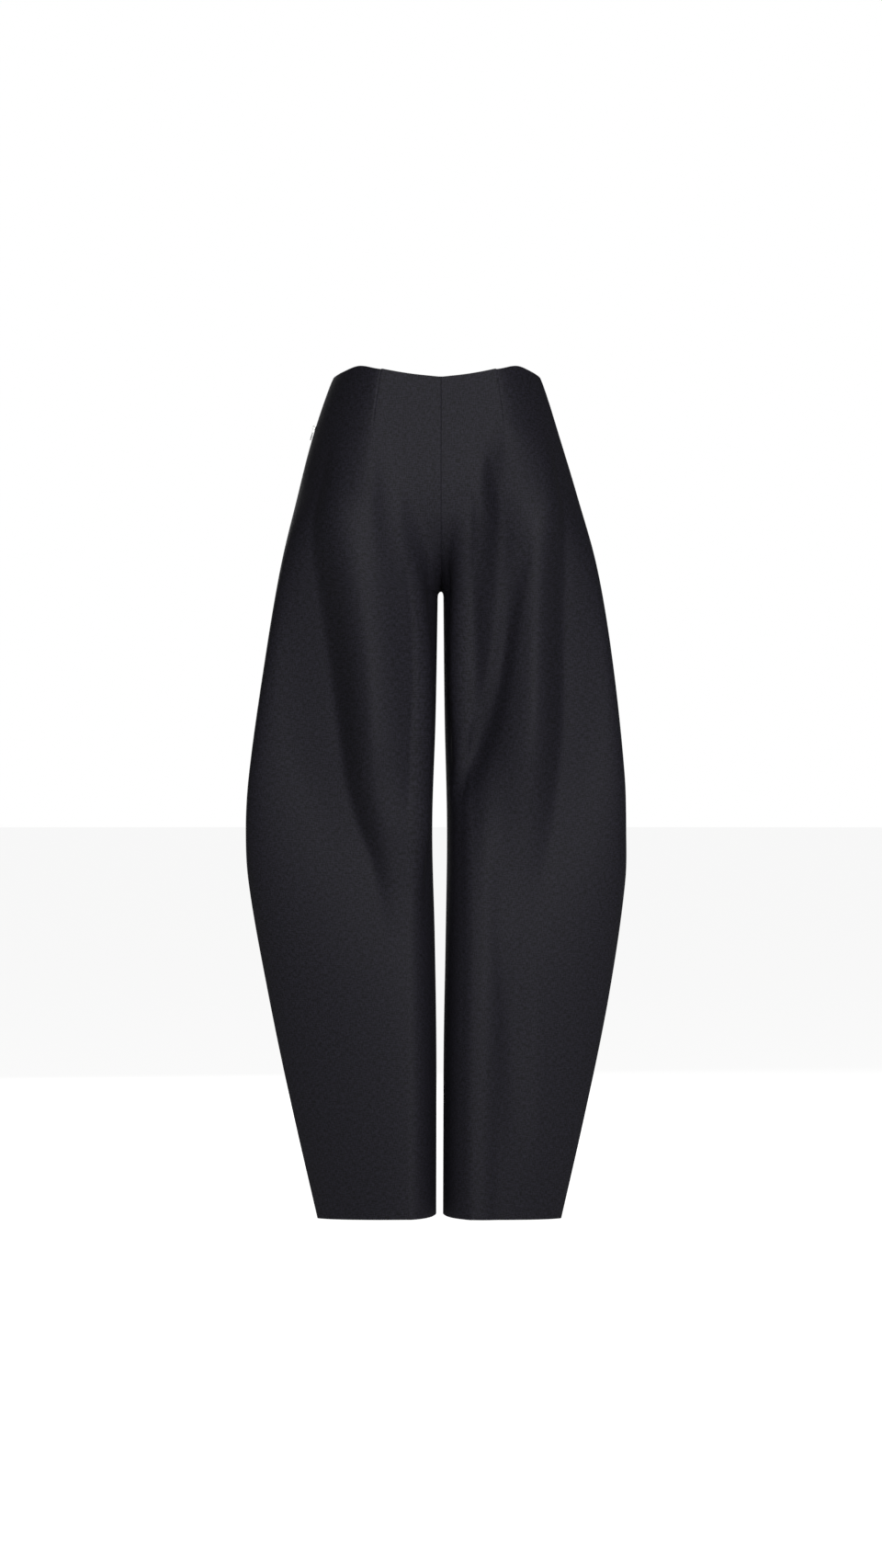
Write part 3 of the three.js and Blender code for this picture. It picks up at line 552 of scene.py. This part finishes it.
def cloth_levels():
    """Heights of the rows of a cloth piece, close together at its edges and at the crotch."""
    top = [-step for step in EDGE_STEPS]
    hips = list(np.linspace(-EDGE_STEPS[-1], RISE_TOP, HIP_ROWS)[1:-1])
    turn = np.linspace(math.pi / 2, 0, RISE_ROWS)
    rise = list(CROTCH + (RISE_TOP - CROTCH) * (1 - np.cos(turn)))
    turn = np.linspace(0, math.pi / 2, ARCH_ROWS)[1:]
    arch = list(CROTCH - ARCH * (1 - np.cos(turn)))
    leg = list(np.linspace(CROTCH - ARCH, HEM + EDGE_STEPS[-1], LEG_ROWS)[1:-1])
    bottom = [HEM + step for step in reversed(EDGE_STEPS)]
    return np.array(top + hips + rise + arch + leg + bottom)


def cloth_columns():
    """Part, fraction and offset of the columns of a cloth piece, close together at its seams and
    at the crown line, where the darts run."""
    last = EDGE_STEPS[-1]
    columns = []
    for part, cells in ((0, INNER_CELLS), (1, OUTER_CELLS)):
        columns += [(part, 0.0, step - last) for step in EDGE_STEPS[:-1]]
        columns += [(part, share, 0.0) for share in np.linspace(0, 1, cells + 1)]
        columns += [(part, 1.0, last - step) for step in reversed(EDGE_STEPS[:-1])]
        if part == 0:
            columns.pop()
    return tuple(np.array(values) for values in zip(*columns))


def shell(name, points, outer, inner):
    """A closed shell between two grids of points, mapped on the flat cloth."""
    rows, count = points.shape
    grid = np.arange(rows * count).reshape(rows, count)
    back = grid + rows * count
    sides = (
        (grid[:-1, :-1], grid[1:, :-1], grid[1:, 1:], grid[:-1, 1:]),
        (back[:-1, :-1], back[:-1, 1:], back[1:, 1:], back[1:, :-1]),
        (grid[0, :-1], grid[0, 1:], back[0, 1:], back[0, :-1]),
        (grid[-1, 1:], grid[-1, :-1], back[-1, :-1], back[-1, 1:]),
        (grid[1:, 0], grid[:-1, 0], back[:-1, 0], back[1:, 0]),
        (grid[:-1, -1], grid[1:, -1], back[1:, -1], back[:-1, -1]),
    )
    if points.mirrored:
        sides = [corners[::-1] for corners in sides]
    faces = np.concatenate([np.stack([part.ravel() for part in corners], axis=1)
                            for corners in sides])
    plan = np.tile(points.plan(), (2, 1))
    mesh = bpy.data.meshes.new(name)
    mesh.from_pydata(np.concatenate([outer, inner]).tolist(), [], faces.tolist())
    cloth_map = mesh.uv_layers.new(name="cloth")
    cloth_map.data.foreach_set("uv", plan[faces.ravel()].astype(np.float32).ravel())
    mesh.polygons.foreach_set("use_smooth", np.ones(len(faces), dtype=bool))
    mesh.update()
    piece = bpy.data.objects.new(name, mesh)
    bpy.context.collection.objects.link(piece)
    return piece


def cloth_piece(side_name, face_name, sizes):
    """One wool piece: rounded at its seams and edges, folded, darted on the front, and with its
    seam allowances and turned in edges standing a little proud inside."""
    points = ClothPoints(side_name, face_name, cloth_levels(), cloth_columns())
    roll = np.maximum(rounded_edge(points.length, sizes.seam_roll),
                      rounded_edge(points.from_side, sizes.seam_roll))
    roll = np.maximum(roll, rounded_edge(points.from_edge, sizes.seam_roll))
    dart = np.zeros_like(roll)
    if face_name == "front":
        fade = ease((DART_LENGTH + points.level) / DART_FADE)
        near = np.clip(1 - points.from_crown / DART_HALF, 0, 1)
        dart = sizes.dart_depth * near ** DART_POWER * fade
    sink = points.sink * sizes.fold_share
    depth = sink + roll + dart
    on_tape = (points.level > ZIP_END) & (side_name == "right")
    inner_seam = ease((ALLOWANCE - points.length) / ALLOWANCE_STEP + 1)
    side_seam = ease((ALLOWANCE - points.from_side) / ALLOWANCE_STEP + 1)
    seams = np.maximum(inner_seam, np.where(on_tape, 0, side_seam))
    turned = ease((TURNING - points.from_edge) / TURNING_STEP + 1)
    turned = np.where(on_tape & (points.from_side < TAPE_WIDTH + TAPE_ROOM), 0, turned)
    inside = sink + sizes.wall + LAYER * np.maximum(seams, turned)
    inside -= rounded_edge(points.from_edge, INNER_ROLL) * INNER_ROLL_SHARE
    return shell(f"wool_{face_name}_{side_name}", points, points.at_depth(depth),
                 points.at_depth(np.maximum(inside, depth + LEAST_WALL)))


def zip_tape(face_name):
    """One woven zip tape, inside the cloth beside the wearer's right side seam."""
    levels = np.linspace(ZIP_TOP, ZIP_END, TAPE_ROWS)
    away = np.linspace(TAPE_WIDTH, 0, TAPE_COLUMNS)
    columns = (np.ones(TAPE_COLUMNS), np.ones(TAPE_COLUMNS), EDGE_STEPS[-1] - away)
    points = ClothPoints("right", face_name, levels, columns)
    outer = points.sink + WALL + TAPE_GAP
    edge = rounded_edge(points.from_side - TAPE_EDGE, TAPE_ROLL)
    return shell(f"tape_{face_name}", points, points.at_depth(outer),
                 points.at_depth(outer + TAPE - edge * 0.5))


def seam_frame(level):
    """Place and directions of the zipped seam at a level: out of the cloth, towards the front and
    up along the seam."""
    step = 0.004

    def place(height):
        return Vector((-float(SIDES["right"]["reach"](height)), float(side_depth(height)), height))

    up = (place(level + step) - place(level - step)).normalized()
    front = Vector((0, -1, 0))
    front = (front - up * front.dot(up)).normalized()
    return place(level), front.cross(up), front, up


def all_deselected():
    """Leaves object mode with nothing selected."""
    for piece in bpy.context.selected_objects:
        piece.select_set(False)
    bpy.context.view_layer.objects.active = None


def edit_all(piece, *steps):
    """Runs edit mode steps on the whole of a piece."""
    all_deselected()
    piece.select_set(True)
    bpy.context.view_layer.objects.active = piece
    bpy.ops.object.mode_set(mode="EDIT")
    bpy.ops.mesh.select_all(action="SELECT")
    for step in steps:
        step()
    bpy.ops.object.mode_set(mode="OBJECT")


def tooth_pattern():
    """One tooth of the coil: a short bar with rounded ends, modelled at the origin."""
    all_deselected()
    bpy.ops.mesh.primitive_cube_add(size=1.0)
    tooth = bpy.context.object
    tooth.name = "tooth_pattern"
    edit_all(
        tooth,
        lambda: bpy.ops.transform.resize(value=TOOTH_SIZE),
        lambda: bpy.ops.mesh.bevel(offset=TOOTH_BEVEL, segments=1, affect="EDGES"),
    )
    return tooth


def zip_coil(face_name, row_sign):
    """One row of the coil, sewn on its tape's edge: a single tooth copied down the seam."""
    pattern = tooth_pattern()
    corners = np.array([corner.co for corner in pattern.data.vertices])
    loops = [list(face.vertices) for face in pattern.data.polygons]
    vertices = []
    faces = []
    depth = WALL + TAPE_GAP + TAPE + TOOTH_SIZE[2] / 2
    level = -COIL_MARGIN
    if row_sign > 0:
        level -= TOOTH_PITCH / 2
    while level > ZIP_END + COIL_MARGIN:
        place, out, front, up = seam_frame(level)
        half = float(parting(level))
        grip = COIL_GRIP if half < CLOSED_HALF else 0.0
        along = half + TOOTH_SIZE[0] / 2 - grip
        middle = place - out * depth - front * (row_sign * along)
        basis = Matrix((front, up, out)).transposed()
        start = len(vertices)
        vertices += [tuple(middle + basis @ Vector(corner)) for corner in corners]
        faces += [[start + index for index in loop] for loop in loops]
        level -= TOOTH_PITCH
    bpy.data.objects.remove(pattern)
    mesh = bpy.data.meshes.new(f"coil_{face_name}")
    mesh.from_pydata(vertices, [], faces)
    mesh.update()
    piece = bpy.data.objects.new(f"coil_{face_name}", mesh)
    bpy.context.collection.objects.link(piece)
    return piece


def softened(name, node_name, bevel):
    """A copy of a solid's own shape, with its loose triangles merged and its edges rounded."""
    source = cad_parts[node_name]
    piece = bpy.data.objects.new(name, source.data.copy())
    bpy.context.collection.objects.link(piece)
    edit_all(
        piece,
        lambda: bpy.ops.mesh.remove_doubles(threshold=0.00001),
        lambda: bpy.ops.mesh.dissolve_limited(angle_limit=math.radians(4)),
    )
    rounding = piece.modifiers.new("rounding", "BEVEL")
    rounding.width = bevel
    rounding.segments = 2
    rounding.limit_method = "ANGLE"
    rounding.angle_limit = math.radians(40)
    bpy.ops.object.modifier_apply(modifier=rounding.name)
    bpy.ops.object.shade_smooth_by_angle(angle=math.radians(35))
    return piece


# Materials

def add_node(tree, kind, links=(), **settings):
    """Adds a shader node. links are (input, output socket) pairs, and the other settings are its
    properties or its inputs by name."""
    node = tree.nodes.new(kind)
    for name, value in settings.items():
        if name in node.bl_rna.properties:
            setattr(node, name, value)
        else:
            node.inputs[name.replace("_", " ")].default_value = value
    for name, socket in links:
        tree.links.new(socket, node.inputs[name])
    return node


def new_material(name):
    """An empty node material and its tree."""
    material = bpy.data.materials.new(name)
    material.use_nodes = True
    material.node_tree.nodes.clear()
    return material, material.node_tree


def heavy_wool(colours):
    """Heavy wool suiting in a fine plain weave, milled until the threads hardly show. It is matt,
    with a broad low gloss from its fibres, and slightly uneven where the yarn thickens."""
    material, tree = new_material("heavy_black_wool")
    cloth_map = add_node(tree, "ShaderNodeUVMap", uv_map="cloth")
    # Yarn is about 0.6 mm, too fine to show in the picture, so slubs are drawn 1 mm by 6 mm
    weft = add_node(tree, "ShaderNodeMapping", [("Vector", cloth_map.outputs["UV"])],
                    Scale=(170, 900, 1))
    warp = add_node(tree, "ShaderNodeMapping", [("Vector", cloth_map.outputs["UV"])],
                    Scale=(900, 200, 1))
    weft_noise = add_node(tree, "ShaderNodeTexNoise", [("Vector", weft.outputs["Vector"])],
                          Scale=1.0, Detail=2.0, Roughness=0.6)
    warp_noise = add_node(tree, "ShaderNodeTexNoise", [("Vector", warp.outputs["Vector"])],
                          Scale=1.0, Detail=2.0, Roughness=0.6)
    both = add_node(tree, "ShaderNodeMath", operation="ADD")
    tree.links.new(weft_noise.outputs["Fac"], both.inputs[0])
    tree.links.new(warp_noise.outputs["Fac"], both.inputs[1])
    spread = add_node(tree, "ShaderNodeMapRange", [("Value", both.outputs["Value"])])
    spread.inputs["From Min"].default_value = 0.86
    spread.inputs["From Max"].default_value = 1.14
    colour = add_node(tree, "ShaderNodeMix", [("Factor", spread.outputs["Result"])],
                      data_type="RGBA")
    # Sockets 6 and 7 are the two colours that are mixed, and socket 2 is the mixed colour
    colour.inputs[6].default_value = (*colours.wool_dark, 1)
    colour.inputs[7].default_value = (*colours.wool_light, 1)
    bump = add_node(tree, "ShaderNodeBump", [("Height", both.outputs["Value"])],
                    Strength=0.4, Distance=0.0003)
    shader = add_node(tree, "ShaderNodeBsdfPrincipled",
                      [("Base Color", colour.outputs[2]), ("Normal", bump.outputs["Normal"])],
                      Roughness=0.72)
    shader.inputs["Specular IOR Level"].default_value = 0.5
    add_node(tree, "ShaderNodeOutputMaterial", [("Surface", shader.outputs["BSDF"])])
    return material


def woven_tape(colours):
    """Polyester zip tape, woven in a close twill: black, flat and a little shiny."""
    material, tree = new_material("woven_polyester_tape")
    cloth_map = add_node(tree, "ShaderNodeUVMap", uv_map="cloth")
    # Ribs 1.3 mm apart, coarser than the real 0.5 mm, so that they show
    ribs = add_node(tree, "ShaderNodeTexWave", [("Vector", cloth_map.outputs["UV"])],
                    wave_type="BANDS", bands_direction="DIAGONAL", Scale=350.0, Distortion=0.4)
    bump = add_node(tree, "ShaderNodeBump", [("Height", ribs.outputs["Fac"])],
                    Strength=0.5, Distance=0.0002)
    shader = add_node(tree, "ShaderNodeBsdfPrincipled", [("Normal", bump.outputs["Normal"])],
                      Base_Color=(*colours.tape, 1), Roughness=0.6)
    add_node(tree, "ShaderNodeOutputMaterial", [("Surface", shader.outputs["BSDF"])])
    return material


def wound_nylon(colours):
    """Nylon coil of the zip: black monofilament, drawn and wound, smooth and half glossy, with
    faint unevenness 0.4 mm across."""
    material, tree = new_material("nylon_coil")
    place = add_node(tree, "ShaderNodeTexCoord")
    fine = add_node(tree, "ShaderNodeTexNoise", [("Vector", place.outputs["Object"])], Scale=2500.0)
    bump = add_node(tree, "ShaderNodeBump", [("Height", fine.outputs["Fac"])],
                    Strength=0.15, Distance=0.0001)
    shader = add_node(tree, "ShaderNodeBsdfPrincipled", [("Normal", bump.outputs["Normal"])],
                      Base_Color=(*colours.tooth, 1), Roughness=0.38)
    add_node(tree, "ShaderNodeOutputMaterial", [("Surface", shader.outputs["BSDF"])])
    return material


def plated_zinc(colours):
    """Die cast zinc with a bright nickel plate: nearly white metal, tumbled until it is smooth,
    with fine handling marks 0.7 mm across that break up its reflections."""
    material, tree = new_material("nickel_plated_zinc")
    place = add_node(tree, "ShaderNodeTexCoord")
    marks = add_node(tree, "ShaderNodeTexNoise", [("Vector", place.outputs["Object"])],
                     Scale=1400.0, Detail=4.0)
    rough = add_node(tree, "ShaderNodeMapRange", [("Value", marks.outputs["Fac"])])
    rough.inputs["To Min"].default_value = 0.16
    rough.inputs["To Max"].default_value = 0.34
    bump = add_node(tree, "ShaderNodeBump", [("Height", marks.outputs["Fac"])],
                    Strength=0.08, Distance=0.0001)
    shader = add_node(tree, "ShaderNodeBsdfPrincipled",
                      [("Roughness", rough.outputs["Result"]), ("Normal", bump.outputs["Normal"])],
                      Base_Color=(*colours.metal, 1), Metallic=1.0)
    add_node(tree, "ShaderNodeOutputMaterial", [("Surface", shader.outputs["BSDF"])])
    return material


def painted_floor():
    """Pale painted studio floor, matt and bright enough to run into the white behind it."""
    material, tree = new_material("pale_painted_floor")
    seen = add_node(tree, "ShaderNodeLightPath")
    glow = add_node(tree, "ShaderNodeMath", operation="MULTIPLY")
    tree.links.new(seen.outputs["Is Camera Ray"], glow.inputs[0])
    glow.inputs[1].default_value = FLOOR_GLOW
    shader = add_node(tree, "ShaderNodeBsdfPrincipled",
                      [("Emission Strength", glow.outputs["Value"])],
                      Base_Color=(*linear(FLOOR_HEX), 1), Roughness=0.9,
                      Emission_Color=(1, 1, 1, 1))
    add_node(tree, "ShaderNodeOutputMaterial", [("Surface", shader.outputs["BSDF"])])
    return material


# Stage

def area_light(name, azimuth, elevation, distance, size, power):
    """A soft rectangular light that points at the middle of the trousers. Azimuth 0 is in front
    and 90 on the wearer's left."""
    turn = math.radians(azimuth)
    rise = math.radians(elevation)
    way = Vector((math.sin(turn) * math.cos(rise), -math.cos(turn) * math.cos(rise),
                  math.sin(rise)))
    light = bpy.data.lights.new(name, "AREA")
    light.shape = "RECTANGLE"
    light.size, light.size_y = size
    light.energy = power
    holder = bpy.data.objects.new(name, light)
    holder.location = Vector((0, 0, CAMERA_HEIGHT)) + way * distance
    holder.rotation_euler = way.to_track_quat("Z", "Y").to_euler()
    bpy.context.collection.objects.link(holder)


def set_world(fill):
    """White behind the trousers, and a dim even light on them."""
    scene = bpy.context.scene
    scene.view_settings.view_transform = "Standard"
    scene.world = bpy.data.worlds.new("studio")
    scene.world.use_nodes = True
    tree = scene.world.node_tree
    tree.nodes.clear()
    path = add_node(tree, "ShaderNodeLightPath")
    strength = add_node(tree, "ShaderNodeMapRange", [("Value", path.outputs["Is Camera Ray"])])
    strength.inputs["To Min"].default_value = fill
    strength.inputs["To Max"].default_value = 1.0
    background = add_node(tree, "ShaderNodeBackground", [("Strength", strength.outputs["Result"])],
                          Color=(1, 1, 1, 1))
    add_node(tree, "ShaderNodeOutputWorld", [("Surface", background.outputs["Background"])])


def set_camera():
    """The camera straight in front, as far off as the photograph's perspective needs."""
    camera = bpy.data.cameras.new("camera")
    camera.sensor_width = 36.0
    camera.lens = camera.sensor_width * CAMERA_DISTANCE / FRAME_HEIGHT
    camera.clip_end = 200.0
    holder = bpy.data.objects.new("camera", camera)
    holder.location = (0, -CAMERA_DISTANCE, CAMERA_HEIGHT)
    holder.rotation_euler = (math.pi / 2, 0, 0)
    bpy.context.collection.objects.link(holder)
    bpy.context.scene.camera = holder


# Add-on

def colour_property(name, description, hex_colour):
    """A colour that the user can change, with its default as an sRGB hex value."""
    return FloatVectorProperty(name=name, description=description, subtype="COLOR", size=3,
                               min=0.0, max=1.0, default=linear(hex_colour))


class TrouserCloth(bpy.types.PropertyGroup):
    """Sizes and colours of the wool."""
    wall: FloatProperty(name="Thickness", description="Thickness of the wool",
                        default=WALL, min=0.001, max=0.003, unit="LENGTH")
    seam_roll: FloatProperty(name="Seam roll", description="Radius of the cloth edge at a seam",
                             default=SEAM_ROLL, min=0.0002, max=0.0015, unit="LENGTH")
    dart_depth: FloatProperty(name="Dart depth", description="Depth of the groove along a dart",
                              default=DART_DEPTH, min=0.0, max=0.001, unit="LENGTH")
    fold_share: FloatProperty(name="Folds", description="Share of the folds' full depth",
                              default=1.0, min=0.0, max=1.0, subtype="FACTOR")
    wool_light: colour_property("Light yarn", "Colour of the lighter yarn", WOOL_LIGHT_HEX)
    wool_dark: colour_property("Dark yarn", "Colour of the darker yarn", WOOL_DARK_HEX)


class TrouserZip(bpy.types.PropertyGroup):
    """Finish of the concealed zip."""
    rounding: FloatProperty(name="Rounding", description="Radius of the slider's and pull's edges",
                            default=0.0002, min=0.00005, max=0.0003, unit="LENGTH")
    tape: colour_property("Tape", "Colour of the zip tapes", TAPE_HEX)
    tooth: colour_property("Coil", "Colour of the zip's coil", TOOTH_HEX)
    metal: colour_property("Metal", "Colour of the plated slider and pull", METAL_HEX)


class TrouserStage(bpy.types.PropertyGroup):
    """Studio light."""
    key: FloatProperty(name="Key light", description="Power of the light in front",
                       default=KEY_POWER, min=0.0, unit="POWER")
    back: FloatProperty(name="Rear light", description="Power of the light behind",
                        default=REAR_POWER, min=0.0, unit="POWER")
    fill: FloatProperty(name="Fill", description="Strength of the even light all round",
                        default=FILL, min=0.0, max=1.0, subtype="FACTOR")


class TROUSERS_OT_cloth(bpy.types.Operator):
    """Make the four wool pieces, filled out as on a wearer"""
    bl_idname = "trousers.cloth"
    bl_label = "Wool Pieces"

    def execute(self, context):
        sizes = context.scene.trouser_cloth
        wool = heavy_wool(sizes)
        for side_name in SIDES:
            for face_name in FACES:
                piece = cloth_piece(side_name, face_name, sizes)
                piece.data.materials.append(wool)
                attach(piece, "trousers")
                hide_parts(f"{face_name}_{side_name}")
        return {"FINISHED"}


class TROUSERS_OT_tapes(bpy.types.Operator):
    """Make the two woven tapes of the zip"""
    bl_idname = "trousers.tapes"
    bl_label = "Zip Tapes"

    def execute(self, context):
        tape = woven_tape(context.scene.trouser_zip)
        for face_name in FACES:
            piece = zip_tape(face_name)
            piece.data.materials.append(tape)
            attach(piece, "trousers")
            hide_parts(f"zip_tape_{face_name}")
        return {"FINISHED"}


class TROUSERS_OT_coil(bpy.types.Operator):
    """Make the two rows of the zip's nylon coil"""
    bl_idname = "trousers.coil"
    bl_label = "Zip Coil"

    def execute(self, context):
        nylon = wound_nylon(context.scene.trouser_zip)
        for face_name, face in FACES.items():
            piece = zip_coil(face_name, face["sign"])
            piece.data.materials.append(nylon)
            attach(piece, "trousers")
        return {"FINISHED"}


class TROUSERS_OT_slider(bpy.types.Operator):
    """Make the zip's slider and its hanging pull"""
    bl_idname = "trousers.slider"
    bl_label = "Slider and Pull"

    def execute(self, context):
        sizes = context.scene.trouser_zip
        metal = plated_zinc(sizes)
        for node_name, body in (("zip_slider", "trousers"), ("zip_pull", "zip_pull")):
            piece = softened("plated_" + node_name, node_name, sizes.rounding)
            piece.data.materials.clear()
            piece.data.materials.append(metal)
            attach(piece, body)
            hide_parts(node_name)
        return {"FINISHED"}


class TROUSERS_OT_stage(bpy.types.Operator):
    """Set up the floor, the studio light and the camera"""
    bl_idname = "trousers.stage"
    bl_label = "Stage"

    def execute(self, context):
        light = context.scene.trouser_stage
        all_deselected()
        bpy.ops.mesh.primitive_circle_add(vertices=128, radius=FLOOR_RADIUS, fill_type="NGON",
                                          location=(0, 0, HEM - FLOOR_DROP))
        floor = context.object
        floor.name = "floor"
        floor.data.materials.append(painted_floor())
        set_world(light.fill)
        area_light("key", KEY_AZIMUTH, KEY_ELEVATION, KEY_DISTANCE, KEY_SIZE, light.key)
        area_light("rear", REAR_AZIMUTH, REAR_ELEVATION, REAR_DISTANCE, REAR_SIZE, light.back)
        set_camera()
        return {"FINISHED"}


STEPS = (TROUSERS_OT_cloth, TROUSERS_OT_tapes, TROUSERS_OT_coil, TROUSERS_OT_slider,
         TROUSERS_OT_stage)


class TROUSERS_PT_panel(bpy.types.Panel):
    """Sidebar panel with the trousers' sizes, colours and steps"""
    bl_idname = "TROUSERS_PT_panel"
    bl_label = "Barrel Leg Trousers"
    bl_space_type = "VIEW_3D"
    bl_region_type = "UI"
    bl_category = "Trousers"

    def draw(self, context):
        layout = self.layout
        for step in STEPS:
            layout.operator(step.bl_idname)
        for group in ("trouser_cloth", "trouser_zip", "trouser_stage"):
            settings = getattr(context.scene, group)
            box = layout.box()
            for name in settings.bl_rna.properties.keys():
                if name not in ("rna_type", "name"):
                    box.prop(settings, name)


GROUPS = {"trouser_cloth": TrouserCloth, "trouser_zip": TrouserZip, "trouser_stage": TrouserStage}


def register():
    for kind in (*GROUPS.values(), *STEPS, TROUSERS_PT_panel):
        bpy.utils.register_class(kind)
    for name, kind in GROUPS.items():
        setattr(bpy.types.Scene, name, PointerProperty(type=kind))


def unregister():
    for name in GROUPS:
        delattr(bpy.types.Scene, name)
    for kind in reversed((*GROUPS.values(), *STEPS, TROUSERS_PT_panel)):
        bpy.utils.unregister_class(kind)


def main():
    register()
    bpy.ops.trousers.cloth()
    bpy.ops.trousers.tapes()
    bpy.ops.trousers.coil()
    bpy.ops.trousers.slider()
    bpy.ops.trousers.stage()


if __name__ == "__main__":
    main()
